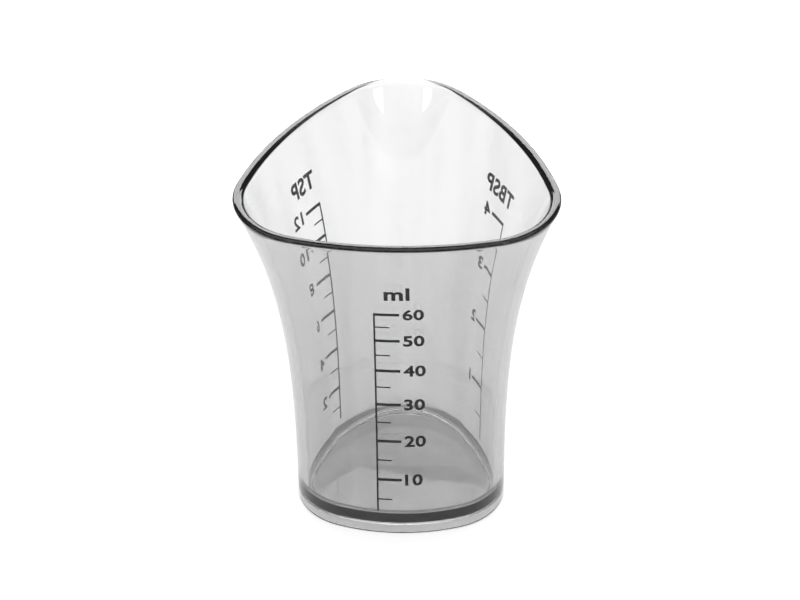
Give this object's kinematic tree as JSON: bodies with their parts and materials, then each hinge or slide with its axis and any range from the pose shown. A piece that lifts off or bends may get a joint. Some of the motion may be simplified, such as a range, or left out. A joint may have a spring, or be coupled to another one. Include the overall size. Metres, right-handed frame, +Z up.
{
  "type": "measuring cup",
  "caption": "Small clear measuring cup, rounded-triangle section flaring to the rim, with printed ml, teaspoon and tablespoon scales on its three sides.",
  "frame": {"origin": "on the cup's axis, in the plane that the foot stands on", "axes": "+Z up through the mouth; -Y out of the middle of the side with the ml scale; +Y out of the opposite corner; +X to the right as that scale is read"},
  "size_m": [0.0612, 0.0592, 0.073],
  "materials": {
    "clear_plastic": "polished, smoke-grey tint",
    "printed_ink": "screen-printed ink"
  },
  "bodies": {
    "root": {"cup": "clear_plastic", "ml_scale": "printed_ink", "teaspoon_scale": "printed_ink", "tablespoon_scale": "printed_ink"}
  },
  "joints": []
}
